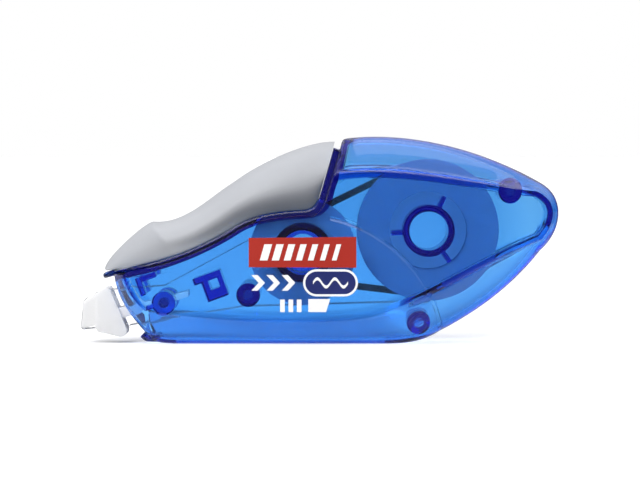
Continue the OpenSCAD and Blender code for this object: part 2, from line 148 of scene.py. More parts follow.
FINE = 3
NOSE_TOP, NOSE_LOW = (43.0, 31.0), (42.8, 18.0)
DECK = [bez([(-39.9, 13.75), (-32.2, 14.7), (-23.4, 17.7), (-15.9, 22.6)], 12 * FINE),
        bez([(-15.9, 22.6), (-12, 25.0), (-7.1, 25.3), (-2.6, 25.5)], 8 * FINE),
        bez([(-2.6, 25.5), (-0.6, 25.7), (0.6, 26.4), (1.3, 28.4)], 5 * FINE)]
OUTLINE = chain(
    *DECK,
    line((1.3, 28.4), (2.5, 32.5), 3 * FINE), line((2.5, 32.5), (4.2, 38.9), 3 * FINE),
    bez([(4.2, 38.9), (4.35, 39.4), (4.6, 39.7), (5.3, 39.75)], FINE),
    bez([(5.3, 39.75), (17.4, 41.2), (31.8, 37.5), NOSE_TOP], 18 * FINE),
    bez([NOSE_TOP, (48.0, 28.1), (46.9, 21.5), NOSE_LOW], 12 * FINE),
    bez([NOSE_LOW, (37.7, 11.3), (30.9, 6.1), (23.2, 2.2)], 12 * FINE),
    bez([(23.2, 2.2), (20.8, 0.55), (17.4, 0.0), (12.5, 0.0)], 8 * FINE),
    line((12.5, 0.0), (-28.0, 0.0), 14 * FINE),
    bez([(-28.0, 0.0), (-30.8, 0.05), (-32.6, 0.3), (-33.4, 1.6)], 4 * FINE),
    bez([(-33.4, 1.6), (-35.6, 4.4), (-39.2, 7.6), (-39.9, 13.75)], 12 * FINE))
PANEL = chain(
    *DECK,
    bez([(1.3, 28.4), (1.6, 29.8), (2.1, 31.4), (2.5, 32.2)], 6 * FINE),
    bez([(2.5, 32.2), (2.6, 32.6), (2.8, 32.7), (3.6, 32.8)], FINE),
    bez([(3.6, 32.8), (14.5, 34.4), (31.0, 30.5), (41.6, 29.6)], 18 * FINE),
    bez([(41.6, 29.6), (46.0, 27.6), (45.4, 23.6), (42.6, 20.4)], 12 * FINE),
    bez([(42.6, 20.4), (35.5, 18.2), (29.5, 14.8), (22.6, 11.2)], 12 * FINE),
    bez([(22.6, 11.2), (17.0, 8.5), (12.5, 5.6), (6.0, 5.0)], 8 * FINE),
    bez([(6.0, 5.0), (-4.0, 4.2), (-14.0, 4.4), (-24.0, 5.6)], 14 * FINE),
    bez([(-24.0, 5.6), (-28.0, 6.0), (-31.0, 6.2), (-33.6, 6.8)], 4 * FINE),
    bez([(-33.6, 6.8), (-35.6, 8.4), (-37.0, 10.6), (-37.9, 13.9)], 12 * FINE))

GRIP_BASE = chain(
    bez([(-41.4, 14.2), (-32.2, 15.35), (-23.6, 18.2), (-16.1, 23.05)], 36),
    bez([(-16.1, 23.05), (-12, 25.45), (-7.1, 25.8), (-3.4, 25.95)], 24),
    bez([(-3.4, 25.95), (-1.6, 26.0), (-0.8, 26.9), (-0.2, 28.6)], 15), closed=False, end=(-0.2, 28.6))
GRIP_TOP = chain(
    bez([(-41.9, 14.6), (-41.8, 16.6), (-34.2, 23.4), (-32.6, 23.56)], 24),
    bez([(-32.6, 23.56), (-26.3, 23.0), (-21.6, 28.4), (-16.5, 31.5)], 24),
    bez([(-16.5, 31.5), (-11.5, 35.2), (-2.4, 39.3), (2.8, 39.1)], 42), closed=False, end=(2.8, 39.1))
GRIP_REAR = chain(line((-0.2, 28.6), (2.8, 39.0), 10), closed=False, end=(2.8, 39.0))


# ---------- meshes ----------
def new_object(name, verts, faces):
    """Object of the given vertices in millimetres, with its face directions made consistent."""
    mesh = bpy.data.meshes.new(name)
    mesh.from_pydata([tuple(float(c) * MM for c in v) for v in verts], [], [list(map(int, f)) for f in faces])
    bm = bmesh.new()
    bm.from_mesh(mesh)
    bmesh.ops.remove_doubles(bm, verts=bm.verts, dist=1e-7)
    bmesh.ops.recalc_face_normals(bm, faces=bm.faces)
    bm.to_mesh(mesh)
    bm.free()
    obj = bpy.data.objects.new(name, mesh)
    scene.collection.objects.link(obj)
    return obj


def ring_faces(a, b, n):
    """Faces between two rings of n vertices that start at a and b."""
    return [(a + i, a + (i + 1) % n, b + (i + 1) % n, b + i) for i in range(n)]


def prism(name, loop, y0, y1, edge=0.0):
    """Outline in X and Z pushed from y0 to y1, with its rims chamfered by edge."""
    loop = np.asarray(loop, float)
    if edge:
        small = inset(loop, edge) if is_clockwise(loop) else inset(loop[::-1], edge)[::-1]
        stack = [(small, y0), (loop, y0 + edge), (loop, y1 - edge), (small, y1)]
    else:
        stack = [(loop, y0), (loop, y1)]
    n, verts, faces = len(loop), [], []
    for ring, y in stack:
        verts += [(p[0], y, p[1]) for p in ring]
    for k in range(len(stack) - 1):
        faces += ring_faces(k * n, (k + 1) * n, n)
    faces += [range(n), range((len(stack) - 1) * n, len(stack) * n)]
    return new_object(name, verts, faces)


def is_clockwise(loop):
    nxt = np.roll(loop, -1, 0)
    return ((nxt[:, 0] - loop[:, 0]) * (nxt[:, 1] + loop[:, 1])).sum() > 0


def circle(c, r, n=72):
    a = np.linspace(0, 2 * math.pi, n, endpoint=False)
    return np.stack([c[0] + r * np.cos(a), c[1] + r * np.sin(a)], 1)


def lathe(name, c, profile, n=128):
    """Closed profile of (radius, y) turned round the Y axis through c."""
    profile = np.asarray(profile, float)
    m, verts, faces = len(profile), [], []
    for i in range(n):
        a = 2 * math.pi * i / n
        verts += [(c[0] + r * math.cos(a), y, c[1] + r * math.sin(a)) for r, y in profile]
    for i in range(n):
        j = (i + 1) % n
        faces += [(i * m + k, j * m + k, j * m + (k + 1) % m, i * m + (k + 1) % m) for k in range(m)]
    return new_object(name, verts, faces)


def tube(name, c, r, bore, y0, y1, edge=0.15):
    return lathe(name, c, rounded([(bore, y0), (r, y0), (r, y1), (bore, y1)], edge))


def join(objs, name):
    """One object that holds the meshes of several."""
    bm = bmesh.new()
    for o in objs:
        bm.from_mesh(o.data)
        bpy.data.objects.remove(o)
    mesh = bpy.data.meshes.new(name)
    bm.to_mesh(mesh)
    bm.free()
    obj = bpy.data.objects.new(name, mesh)
    scene.collection.objects.link(obj)
    return obj


def boolean(obj, tool, operation):
    """obj joined with, or cut by, tool, which is used up."""
    mod = obj.modifiers.new("cut", "BOOLEAN")
    mod.operation, mod.object, mod.solver, mod.use_self = operation, tool, "EXACT", operation == "UNION"
    bake(obj)
    bpy.data.objects.remove(tool)
    return obj


def bake(obj):
    """obj's modifiers applied to its mesh."""
    dg = bpy.context.evaluated_depsgraph_get()
    mesh = bpy.data.meshes.new_from_object(obj.evaluated_get(dg))
    obj.modifiers.clear()
    obj.data = mesh


def smooth(obj, angle=35):
    """Smooth shading with sharp edges past the angle, and flat faces kept flat."""
    for p in obj.data.polygons:
        p.use_smooth = True
    bm = bmesh.new()
    bm.from_mesh(obj.data)
    for e in bm.edges:
        e.smooth = len(e.link_faces) == 2 and e.calc_face_angle(0) < math.radians(angle)
    bm.to_mesh(obj.data)
    bm.free()
    mod = obj.modifiers.new("flat faces", "WEIGHTED_NORMAL")
    mod.keep_sharp = True
    return obj


# ---------- materials ----------
class Nodes:
    """Short hand for building one material's nodes."""

    def __init__(self, name):
        self.mat = bpy.data.materials.new(name)
        self.mat.use_nodes = True
        self.tree = self.mat.node_tree
        self.bsdf = self.tree.nodes["Principled BSDF"]
        self.out = self.tree.nodes["Material Output"]

    def add(self, kind, **values):
        """New node of a kind; each value is one of its settings or, failing that, of its sockets."""
        node = self.tree.nodes.new("ShaderNode" + kind)
        for key, value in values.items():
            if hasattr(node, key):
                setattr(node, key, value)
            else:
                node.inputs[key.replace("_", " ")].default_value = value
        return node

    def link(self, a, b):
        self.tree.links.new(a, b)

    def set(self, **values):
        for key, value in values.items():
            self.bsdf.inputs[key.replace("_", " ")].default_value = value

    def noise(self, scale, detail=3.0, rough=0.55, coords=None):
        node = self.add("TexNoise", Scale=scale, Detail=detail, Roughness=rough)
        self.link(coords or self.coords(), node.inputs["Vector"])
        return node.outputs["Fac"]

    def coords(self):
        if not hasattr(self, "_coords"):
            self._coords = self.add("TexCoord").outputs["Object"]
        return self._coords

    def ramp(self, fac, low, high, start=0.0, end=1.0):
        node = self.add("ValToRGB")
        e = node.color_ramp.elements
        e[0].position, e[1].position = start, end
        e[0].color, e[1].color = as_rgba(low), as_rgba(high)
        self.link(fac, node.inputs["Fac"])
        return node.outputs["Color"]

    def range(self, fac, low, high, start=0.0, end=1.0):
        """fac carried over from start..end to low..high."""
        node = self.add("MapRange")
        node.inputs["From Min"].default_value, node.inputs["From Max"].default_value = start, end
        node.inputs["To Min"].default_value, node.inputs["To Max"].default_value = low, high
        self.link(fac, node.inputs["Value"])
        return node.outputs["Result"]

    def bump(self, height, strength, distance):
        node = self.add("Bump", Strength=strength, Distance=distance)
        self.link(height, node.inputs["Height"])
        self.link(node.outputs["Normal"], self.bsdf.inputs["Normal"])


def as_rgba(c):
    return (*c, 1.0) if isinstance(c, tuple) else (c, c, c, 1.0)


def tinted_clear(name, per_m, roughness):
    """Clear moulded plastic whose tint deepens with the path; per_m is each colour's loss per metre."""
    m = Nodes(name)
    m.set(Transmission_Weight=1.0, IOR=1.49, Base_Color=(0.93, 0.95, 0.955, 1.0))
    m.link(m.range(m.noise(90), roughness * 0.6, roughness * 1.6), m.bsdf.inputs["Roughness"])
    m.bump(m.noise(160, 2.0), 0.04, 0.0002)
    top = max(per_m) * 1.02
    volume = m.add("VolumeAbsorption", Density=top, Color=tuple(1 - c / top for c in per_m) + (1.0,))
    m.link(volume.outputs["Volume"], m.out.inputs["Volume"])
    return m.mat


def moulded(name, low, high, roughness, sss=0.0):
    """Opaque moulded plastic or rubber with faint mottling and surface grain; sss is its milkiness."""
    m = Nodes(name)
    mottling, wear, grain = m.noise(66), m.noise(220), m.noise(2640, 2.0)
    m.link(m.ramp(mottling, low, high, 0.3, 0.7), m.bsdf.inputs["Base Color"])
    m.link(m.range(wear, roughness - 0.06, roughness + 0.06), m.bsdf.inputs["Roughness"])
    m.set(Subsurface_Weight=sss, Subsurface_Scale=0.0015, Subsurface_Radius=(1, 1, 1), IOR=1.48)
    m.bump(grain, 0.3, 0.00005)
    return m.mat


def milky(name, colour, roughness, clear):
    """Natural translucent plastic that lets blurred light through."""
    m = Nodes(name)
    tone = m.ramp(m.noise(60), tuple(c * 0.96 for c in colour), colour, 0.35, 0.65)
    m.link(tone, m.bsdf.inputs["Base Color"])
    m.link(m.range(m.noise(200), roughness - 0.05, roughness + 0.05), m.bsdf.inputs["Roughness"])
    m.set(Transmission_Weight=clear, IOR=1.49)
    return m.mat


def wound(name, low, high, roughness, centre, turns_per_m):
    """Wound tape: fine rings about the roll's axis on its sides."""
    m = Nodes(name)
    split = m.add("SeparateXYZ")
    m.link(m.coords(), split.inputs[0])
    flat = m.add("CombineXYZ")
    for axis, value in (("X", centre[0]), ("Z", centre[1])):
        shift = m.add("Math", operation="SUBTRACT")
        shift.inputs[1].default_value = value * MM
        m.link(split.outputs[axis], shift.inputs[0])
        m.link(shift.outputs[0], flat.inputs[axis])
    length = m.add("VectorMath", operation="LENGTH")
    m.link(flat.outputs[0], length.inputs[0])
    rings = m.add("CombineXYZ")
    m.link(length.outputs["Value"], rings.inputs["X"])
    fine = m.noise(turns_per_m, 4.0, 0.7, rings.outputs[0])
    m.link(m.ramp(fine, low, high, 0.3, 0.7), m.bsdf.inputs["Base Color"])
    m.set(IOR=1.45, Subsurface_Weight=0.15, Subsurface_Scale=0.002)
    m.link(m.range(fine, roughness - 0.08, roughness + 0.08), m.bsdf.inputs["Roughness"])
    m.bump(fine, 0.25, 0.00005)
    return m.mat


def shaded_rubber():
    """Matt grey rubber, with painted shade that darkens it in the hollow of its sides."""
    m = Nodes("soft grey rubber with painted shade")
    # Lit tone of the rubber; the darker copy below is painted shade for the hollows
    light = m.ramp(m.noise(70), (0.32, 0.33, 0.357), (0.352, 0.362, 0.39), 0.3, 0.7)
    painted_shade_tone = m.ramp(m.noise(70), (0.10, 0.11, 0.135), (0.12, 0.13, 0.155), 0.3, 0.7)
    mix = m.add("Mix", data_type="RGBA")
    # The hollow mask blends the lit tone into the painted shade
    m.link(m.add("Attribute", attribute_name="hollow").outputs["Fac"], mix.inputs["Factor"])
    m.link(light, mix.inputs["A"])
    m.link(painted_shade_tone, mix.inputs["B"])
    colour = [o for o in mix.outputs if o.type == "RGBA"][0]
    m.link(colour, m.bsdf.inputs["Base Color"])
    m.link(m.range(m.noise(240), 0.46, 0.56), m.bsdf.inputs["Roughness"])
    m.set(IOR=1.45, Sheen_Weight=0.08)
    m.bump(m.noise(2600, 2.0), 0.3, 0.00005)
    return m.mat


SHELL_BLUE = tinted_clear("translucent blue", per_m=(1350.0, 560.0, 112.0), roughness=0.06)
GRIP_GREY = shaded_rubber()
TIP_WHITE = moulded("milky tip plastic", (0.72, 0.72, 0.725), (0.76, 0.76, 0.765), 0.3, sss=0.9)
BELT_BLACK = moulded("belt rubber", (0.012, 0.012, 0.014), (0.03, 0.03, 0.032), 0.6)
SPOOL = milky("spool plastic", (0.20, 0.36, 0.66), roughness=0.45, clear=0.55)
INSERT = moulded("insert plastic", (0.32, 0.33, 0.36), (0.38, 0.39, 0.42), 0.5)
# Painted shade: the white correction tape gets a dark blue tone that stands in for the shade inside the case,
# whose halves cast no shadow
TAPE_IN_PAINTED_SHADE = wound("wound tape, painted dark as shade", (0.07, 0.145, 0.31), (0.09, 0.175, 0.35), 0.55, SUPPLY, 9000)
LINER = wound("wound backing", (0.50, 0.55, 0.6), (0.70, 0.74, 0.78), 0.4, TAKE_UP, 9000)
RIBBON = milky("tape film", (0.90, 0.91, 0.93), roughness=0.4, clear=0.85)
PRINT_RED = moulded("red ink", (0.39, 0.014, 0.005), (0.43, 0.018, 0.006), 0.45)
PRINT_WHITE = moulded("white ink", (0.94, 0.94, 0.94), (0.97, 0.97, 0.97), 0.4)
PRINT_NAVY = moulded("navy ink", (0.012, 0.02, 0.13), (0.02, 0.03, 0.17), 0.3)


def paint(obj, mat):
    obj.data.materials.clear()
    obj.data.materials.append(mat)
    return obj


# ---------- camera, light and stage ----------
VIEW_D = 430.0
ELEVATION = math.radians(2.5)
PX_MM = 0.195
aim = Vector((-0.06, 0.0, 19.95)) * MM
camera = bpy.data.objects.new("camera", bpy.data.cameras.new("camera"))
camera.data.sensor_width = 36.0
camera.data.lens = 36.0 * VIEW_D / (640 * PX_MM)
camera.data.clip_start, camera.data.clip_end = 0.01, 20.0
camera.location = aim + Vector((0, -math.cos(ELEVATION), math.sin(ELEVATION))) * VIEW_D * MM
camera.rotation_euler = (math.pi / 2 - ELEVATION, 0, 0)
scene.collection.objects.link(camera)
scene.camera = camera


def area_light(name, place, size, watts, aim_at=(0, 0, 20)):
    """Rectangular lamp at a place, turned towards aim_at."""
    lamp = bpy.data.lights.new(name, "AREA")
    lamp.shape, lamp.size, lamp.size_y, lamp.energy = "RECTANGLE", size[0] * MM, size[1] * MM, watts
    obj = bpy.data.objects.new(name, lamp)
    obj.location = Vector(place) * MM
    obj.rotation_euler = (Vector(aim_at) * MM - obj.location).to_track_quat("-Z", "Y").to_euler()
    scene.collection.objects.link(obj)


sun = bpy.data.objects.new("overhead diffuser", bpy.data.lights.new("overhead diffuser", "SUN"))
sun.data.energy, sun.data.angle = 2.3, math.radians(75)
sun.rotation_euler = (math.radians(6), math.radians(-8), 0)
scene.collection.objects.link(sun)
area_light("front softbox", place=(-260, -420, 330), size=(260, 200), watts=2.4)


def math_node(tree, operation, a, b, clamp=False):
    """Output of a sum on two inputs, each a number or another node's output."""
    node = tree.nodes.new("ShaderNodeMath")
    node.operation, node.use_clamp = operation, clamp
    for socket, value in zip(node.inputs, (a, b)):
        if isinstance(value, (int, float)):
            socket.default_value = value
        else:
            tree.links.new(value, socket)
    return node.outputs[0]


def by_ray(tree, seen, reflected, ambient):
    """Value seen directly or through the plastic, in reflections, and as fill light."""
    path = tree.nodes.new("ShaderNodeLightPath").outputs
    mirror = math_node(tree, "SUBTRACT", path["Is Glossy Ray"], path["Is Transmission Ray"], True)
    drop = math_node(tree, "MULTIPLY", mirror, math_node(tree, "SUBTRACT", seen, reflected))
    fill = math_node(tree, "MULTIPLY", path["Is Diffuse Ray"], seen - ambient)
    return math_node(tree, "SUBTRACT", seen, math_node(tree, "ADD", drop, fill))


def studio_world():
    """White surroundings; reflections find them dim at eye level and bright overhead."""
    world = bpy.data.worlds.new("studio")
    world.use_nodes = True
    tree = world.node_tree
    split = tree.nodes.new("ShaderNodeSeparateXYZ")
    tree.links.new(tree.nodes.new("ShaderNodeTexCoord").outputs["Generated"], split.inputs[0])
    overhead = tree.nodes.new("ShaderNodeMapRange")
    overhead.interpolation_type = "SMOOTHSTEP"
    for socket, value in (("From Min", 0.05), ("From Max", 0.75), ("To Min", 0.06), ("To Max", 1.5)):
        overhead.inputs[socket].default_value = value
    tree.links.new(split.outputs["Z"], overhead.inputs["Value"])
    strength = by_ray(tree, seen=1.0, reflected=overhead.outputs["Result"], ambient=0.25)
    tree.links.new(strength, tree.nodes["Background"].inputs["Strength"])
    tree.nodes["Background"].inputs["Color"].default_value = (1.0, 1.0, 1.0, 1.0)
    scene.world = world


def floor_finish():
    """Pale matt floor; only its part near the object shows in reflections."""
    m = Nodes("pale floor")
    split = m.add("SeparateXYZ")
    m.link(m.coords(), split.inputs[0])
    aside = math_node(m.tree, "ABSOLUTE", split.outputs["Y"], 0.0)
    near = m.range(aside, low=0.8, high=0.08, start=22 * MM, end=70 * MM)
    m.set(Roughness=0.8)
    tone = m.add("CombineColor")
    shade = by_ray(m.tree, seen=0.93, reflected=near, ambient=0.4)
    for channel in ("Red", "Green", "Blue"):
        m.link(shade, tone.inputs[channel])
    m.link(tone.outputs[0], m.bsdf.inputs["Base Color"])
    m.bsdf.inputs["Emission Color"].default_value = (1.0, 1.0, 1.0, 1.0)
    glow = by_ray(m.tree, seen=0.2, reflected=0.0, ambient=0.0)
    m.link(glow, m.bsdf.inputs["Emission Strength"])
    return m.mat


studio_world()
FLOOR_HALF = 6000.0
corners = [(a * FLOOR_HALF, b * FLOOR_HALF, 0) for a, b in ((-1, -1), (1, -1), (1, 1), (-1, 1))]
floor = new_object("floor", corners, [(0, 1, 2, 3)])
paint(floor, floor_finish())

scene.view_settings.view_transform = "Standard"
scene.cycles.max_bounces = 32
scene.cycles.transmission_bounces = 32
scene.cycles.glossy_bounces = 12
scene.cycles.diffuse_bounces = 4
scene.cycles.transparent_max_bounces = 12
scene.cycles.caustics_refractive = True
scene.cycles.use_denoising = True
scene.cycles.sample_clamp_indirect = 6.0


# ---------- case halves ----------
# Share of the way from outline to panel, then the height from the middle plane at the flat base and
# front, on the rounded margins of the rear body, and on those margins where a crease steps up to the panel
PROFILE = [(0, 0, 0, 0), (0, 1.2, 0.25, 0.25), (0, 2.6, 0.5, 0.5),
           (0.003, 3.6, 0.8, 0.8), (0.012, 4.1, 1.25, 1.25), (0.03, 4.45, 1.8, 1.8),
           (0.06, 4.72, 2.4, 2.4), (0.1, 4.98, 2.95, 2.95), (0.16, 5.3, 3.55, 3.5),
           (0.25, 5.75, 4.2, 4.1), (0.35, 6.2, 4.8, 4.6), (0.46, 6.65, 5.4, 5.0),
           (0.57, 7.07, 6.0, 5.3), (0.68, 7.45, 6.6, 5.55), (0.77, 7.72, 7.1, 5.7),
           (0.83, 7.88, 7.4, 5.85), (0.865, 7.96, 7.56, 6.05), (0.885, 8.0, 7.65, 6.5),
           (0.9, 8.03, 7.71, 7.1), (0.915, 8.06, 7.77, 7.6), (0.93, 8.09, 7.83, 7.9),
           (0.95, 8.13, 7.92, 8.07), (0.975, 8.17, 8.06, 8.16), (1.0, SIDE_Y, SIDE_Y, SIDE_Y)]


def ease(t):
    t = np.clip(t, 0, 1)
    return t * t * (3 - 2 * t)


def margin_kinds():
    """Share of the rounded rear margin, and of the stepped crease, at every point round the case."""
    x, z = ((OUTLINE + PANEL) / 2).T
    upper = (z > 27) & (x > 0)
    rear = np.where(upper, ease((OUTLINE[:, 0] - 4.3) / 3), ease((x - 13) / 10) * (z <= 27))
    step = np.where(upper, 1 - ease((x - 33) / 6), ease((x - 17) / 7) * (1 - ease((z - 20.5) / 3)))
    return rear, step


TAPER_START = 24.0
TAPER_RUN = 26.0
TAPER_SHARE = 0.4


def side_taper(x):
    """Share of the full thickness: the case thins towards its nose."""
    return 1 - TAPER_SHARE * ease((x - TAPER_START) / TAPER_RUN)


def side_cap(loop, first):
    """Faces that close a side: one flat face, and upright strips over the tapered nose."""
    x, n = loop[:, 0], len(loop)
    nose = np.nonzero(x > TAPER_START)[0]
    i, j = int(nose[0]), int(nose[-1])
    faces = [[first + (j + k) % n for k in range(n - (j - i) + 1)]]
    while j - i > 1:
        if x[i + 1] < x[j - 1]:
            faces.append([first + i, first + i + 1, first + j])
            i += 1
        else:
            faces.append([first + i, first + j - 1, first + j])
            j -= 1
    return faces


def in_triangles(obj):
    """obj with every face split into triangles, which the boolean steps need where a face is bent."""
    bm = bmesh.new()
    bm.from_mesh(obj.data)
    bmesh.ops.triangulate(bm, faces=bm.faces[:])
    bm.to_mesh(obj.data)
    bm.free()
    return obj


def margin_height(row, kinds):
    """Height of one profile row at every point round the case."""
    flat, lens, stepped = row[1:]
    rear, step = kinds
    return flat + (lens + (stepped - lens) * step - flat) * rear


def bare_half(name, side):
    """Case half without bosses; side is -1 for the near, left half."""
    n, kinds, verts, faces = len(OUTLINE), margin_kinds(), [], []
    for skin in (0, 1):
        for row in PROFILE:
            loop = OUTLINE + (PANEL - OUTLINE) * row[0]
            y = margin_height(row, kinds) * side_taper(loop[:, 0])
            if skin:
                loop = inset(loop, WALL)
                y = y * (1 - WALL / SIDE_Y)
            verts += [(p[0], side * h, p[1]) for p, h in zip(loop, y)]
        faces += side_cap(loop, len(verts) - n)
    k = len(PROFILE)
    for skin in (0, 1):
        for r in range(k - 1):
            faces += ring_faces((skin * k + r) * n, (skin * k + r + 1) * n, n)
    faces += ring_faces(0, k * n, n)
    return in_triangles(new_object(name, verts, faces))


# Creases that ribs follow inside: each is a curve without its end, and that end
UPPER_CREASE = (bez([(3.0, 32.4), (13.0, 34.2), (27.0, 31.0), (35.2, 30.0)], 30), (35.2, 30.0))
LOWER_CREASE = (bez([(43.0, 20.8), (35.7, 18.35), (29.7, 15.0), (23.6, 11.7)], 30), (23.6, 11.7))
PIVOT_TAIL = np.array([(-31.8, 7.2), (-33.4, 6.7), (-33.5, 7.5), (-31.8, 8.1)])


def ledge_half_width(x):
    """Half width in plan: full at the grip, narrowing to a round front."""
    full, neck, shoulder_x, neck_x = SIDE_Y + RIM_OUT, 4.6, -33.0, -37.9
    if x > shoulder_x:
        return full
    if x > neck_x:
        return full + (neck - full) * (shoulder_x - x) / (shoulder_x - neck_x)
    return neck * math.sqrt(max(0.02, 1 - ((x - neck_x) / 4.55) ** 2))


def deck_plate(name, side):
    """Thin plate under the grip that runs on as the front ledge, with rounded rims."""
    rear = GRIP_REAR[(GRIP_REAR[:, 1] > 29) & (GRIP_REAR[:, 1] < 38.2)]
    edge = np.concatenate([[(-41.9, 13.8)], GRIP_BASE[GRIP_BASE[:, 0] > -40.5][::2], rear])
    top = offset_line(edge, DECK_GAP)
    thin, thick = (offset_line(edge, DECK_GAP + t) for t in (DECK_T, DECK_REAR_T))
    low = np.where(edge[:, :1] > -2.6, thick, thin)
    mid = offset_line(edge, DECK_GAP + DECK_T / 2)
    nose = [mid[0] + DECK_T / 2 * np.array((-math.cos(a), -math.sin(a))) for a in np.linspace(-1.4, 1.4, 7)]
    loop = np.concatenate([top, low[::-1], nose[::-1]])
    y_out = SIDE_Y + RIM_OUT
    obj = prism(name, loop, min(0.0, side * y_out), max(0.0, side * y_out), 0.22)
    for v in obj.data.vertices:
        v.co.y *= ledge_half_width(v.co.x / MM) / y_out
    return obj


def boss(c, y0, y1):
    return prism("boss", circle(c, PIN_BOSS_R), min(y0, y1), max(y0, y1), 0.15)


def turned(points, place, degrees, r=0.22):
    """Rounded polygon moved to its place and turned."""
    a = math.radians(degrees)
    rot = np.array([(math.cos(a), -math.sin(a)), (math.sin(a), math.cos(a))])
    return rounded(points, r) @ rot.T + np.array(place)


def l_rib(y0, y1):
    pts = [(-0.5, 0.4), (3.6, 0.4), (3.6, -0.65), (0.55, -0.65), (0.55, -3.2), (-0.5, -3.2)]
    return prism("l rib", turned(pts, (-35.0, 12.6), 20), min(y0, y1), max(y0, y1), 0.1)


def socket_rib(y0, y1):
    """Flag-shaped rib with a square window."""
    place, tilt = (-24.6, 12.7), 20
    flag = [(0, 0), (5.6, 0), (5.6, -5.2), (1.4, -5.2), (1.4, -1.3), (0, -1.3)]
    window = [(2.7, -1.3), (4.6, -1.3), (4.6, -3.2), (2.7, -3.2)]
    solid = prism("socket rib", turned(flag, place, tilt), y0, y1, 0.1)
    hole = prism("window", turned(window, place, tilt, 0.15), y0 - 1, y1 + 1)
    return boolean(solid, hole, "DIFFERENCE")


def crease_rib(curve, end, first, last, y0, y1):
    """Rib that stands inside the case along a crease; first and last are its widths at its ends."""
    pts = chain(curve, closed=False, end=end)
    w = np.linspace(first / 2, last / 2, len(pts))[:, None]
    run = np.gradient(pts, axis=0)
    across = np.stack([-run[:, 1], run[:, 0]], 1) / np.linalg.norm(run, axis=1)[:, None]
    return prism("crease rib", np.concatenate([pts + across * w, (pts - across * w)[::-1]]), y0, y1)


def lip():
    """Lip that the base runs out into below the mouth."""
    pts = [(-30.5, 0.35), (-33.7, 0.45), (-34.9, 1.3), (-34.6, 1.75), (-33.0, 2.1), (-31.0, 2.1)]
    return rounded(pts, 0.4)


def hub_rib(angle, y0, y1):
    pts = [(4.5, -0.45), (7.2, -0.45), (7.2, 0.45), (4.5, 0.45)]
    return prism("hub rib", turned(pts, SUPPLY, angle, 0.2), y0, y1, 0.08)


def surface_height(tree, x, z, side):
    """Distance from the middle plane to the outer skin at x, z."""
    hit = tree.ray_cast(Vector((x * MM, side * 0.05, z * MM)), Vector((0, -side, 0)))[0]
    return abs(hit.y) / MM if hit else 0.0


def arc_groove(obj, side, width=0.75, depth=0.36):
    """Cutter for the groove between the front label panel and the rear body, following the skin."""
    bm = bmesh.new()
    bm.from_mesh(obj.data)
    tree = BVHTree.FromBMesh(bm)
    bm.free()
    angles = np.linspace(math.radians(77.5), math.radians(11.0), 110)
    verts, faces = [], []
    for a in angles:
        mid = (GROOVE_C[0] + GROOVE_R * math.cos(a), GROOVE_C[1] + GROOVE_R * math.sin(a))
        y = surface_height(tree, *mid, side)
        for r, h in ((-width * 0.62, y + 1.5), (-width * 0.62, y - 0.015), (width * 0.1, y - depth),
                     (width * 0.26, y - depth), (width * 0.4, y - 0.05), (width * 0.4, y + 1.5)):
            verts.append((GROOVE_C[0] + (GROOVE_R + r) * math.cos(a), side * h,
                          GROOVE_C[1] + (GROOVE_R + r) * math.sin(a)))
    sides = 6
    for i in range(len(angles) - 1):
        near, far = i * sides, (i + 1) * sides
        faces += [(near + k, far + k, far + (k + 1) % sides, near + (k + 1) % sides) for k in range(sides)]
    faces += [range(sides), range((len(angles) - 1) * sides, len(angles) * sides)]
    return new_object("groove cutter", verts, faces)


def mouth_cutter():
    pts = [(-45, 12.2), (-37.9, 12.2), (-35.6, 6.4), (-33.4, 3.4), (-31.8, 2.3), (-36.2, 1.7), (-45, 6)]
    return prism("mouth", rounded(pts, 0.3), -3.4, 3.4)


def keep_inside(obj, side):
    """Bosses trimmed to the middle of the case wall, so that none stands out of a slanted margin."""
    n, kinds, verts, faces = len(OUTLINE), margin_kinds(), [], []
    for row in PROFILE:
        loop = OUTLINE + (PANEL - OUTLINE) * row[0]
        y = margin_height(row, kinds) * side_taper(loop[:, 0]) * (1 - 0.5 * WALL / SIDE_Y)
        loop = inset(loop, WALL * 0.5)
        verts += [(p[0], side * h, p[1]) for p, h in zip(loop, y)]
    faces += side_cap(loop, len(verts) - n)
    past_far_side = -side * 12.0
    verts += [(p[0], past_far_side, p[1]) for p in inset(OUTLINE, WALL * 0.5)]
    k = len(PROFILE)
    for r in range(k - 1):
        faces += ring_faces(r * n, (r + 1) * n, n)
    faces += [range(k * n, (k + 1) * n)]
    faces += ring_faces(0, k * n, n)
    return boolean(obj, in_triangles(new_object("envelope", verts, faces)), "INTERSECT")


def deck_slot(obj):
    """Slot in the deck under the grip, for the take-up flanges and the belt."""
    gap = 0.5
    ring = circle(TAKE_UP, FLANGE_R + gap)
    slot = prism("slot", ring[ring[:, 1] > 22], -FLANGE_Y - gap, FLANGE_Y + gap)
    obj = boolean(obj, slot, "DIFFERENCE")
    run = np.array(SUPPLY) - np.array(TAKE_UP)
    tilt = math.atan2(run[1], run[0]) + math.asin((BELT_BIG - BELT_SMALL) / np.linalg.norm(run))
    along, up = np.array((math.cos(tilt), math.sin(tilt))), np.array((-math.sin(tilt), math.cos(tilt)))
    start = np.array(TAKE_UP) + up * BELT_SMALL
    band = [start + along * a + up * b for a, b in ((0.5, -1.1), (0.5, 1.1), (9, 1.1), (9, -1.1))]
    return boolean(obj, prism("belt slot", band, BELT_Y[0] - gap, BELT_Y[1] + gap), "DIFFERENCE")


def finish_half(obj, side):
    """Openings and groove cut, and the parting face drawn back so that the halves never share a face."""
    obj = boolean(obj, mouth_cutter(), "DIFFERENCE")
    obj = deck_slot(obj)
    obj = boolean(obj, arc_groove(obj, side), "DIFFERENCE")
    for v in obj.data.vertices:
        if abs(v.co.y) < PARTING * MM:
            v.co.y = side * PARTING * MM
    return obj


